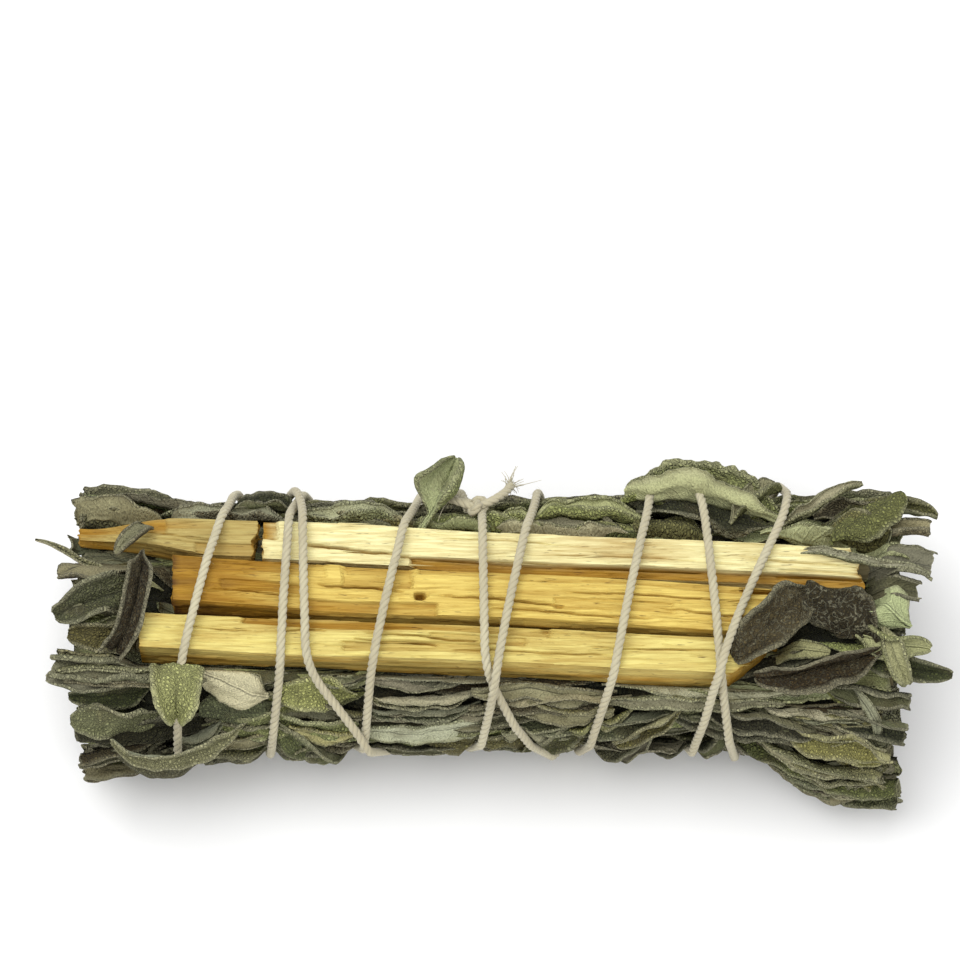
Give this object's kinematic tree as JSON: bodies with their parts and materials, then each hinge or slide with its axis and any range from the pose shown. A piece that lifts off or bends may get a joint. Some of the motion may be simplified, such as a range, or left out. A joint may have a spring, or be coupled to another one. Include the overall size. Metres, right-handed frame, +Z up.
{
  "type": "sage bunch",
  "caption": "Bound bunch of dried sage lying on its side, with split wood sticks along the top and cotton twine wound round it in crossing turns.",
  "frame": {"origin": "on the table under the middle of the bunch's box", "axes": "+X along the bunch, +Z up, -Y the side that faces the viewer"},
  "size_m": [0.1438, 0.05, 0.0409],
  "materials": {
    "sage_pale": "dried felted leaf, pale grey-green, matt",
    "sage_grey_green": "dried pebbled leaf, grey-green, matt",
    "sage_brown": "dried leaf, brownish olive, matt",
    "wood_pale": "raw split wood, pale yellow, matt",
    "wood_yellow": "raw split wood, golden yellow, matt",
    "cotton_twine": "twisted natural cotton, off-white, matt"
  },
  "bodies": {
    "root": {"sage_sprig_top_back": "sage_pale", "sage_sprig_top_front": "sage_grey_green", "sage_sprig_front_high": "sage_grey_green", "sage_sprig_front_low": "sage_pale", "sage_sprig_foot_front": "sage_brown", "sage_sprig_foot": "sage_grey_green", "sage_sprig_foot_back": "sage_brown", "sage_sprig_back_low": "sage_grey_green", "sage_sprig_back_high": "sage_pale", "sage_sprig_heart": "sage_brown", "wood_stick_1": "wood_pale", "wood_stick_2": "wood_yellow", "wood_stick_3": "wood_pale", "wood_stick_4": "wood_yellow", "twine": "cotton_twine"}
  },
  "joints": []
}
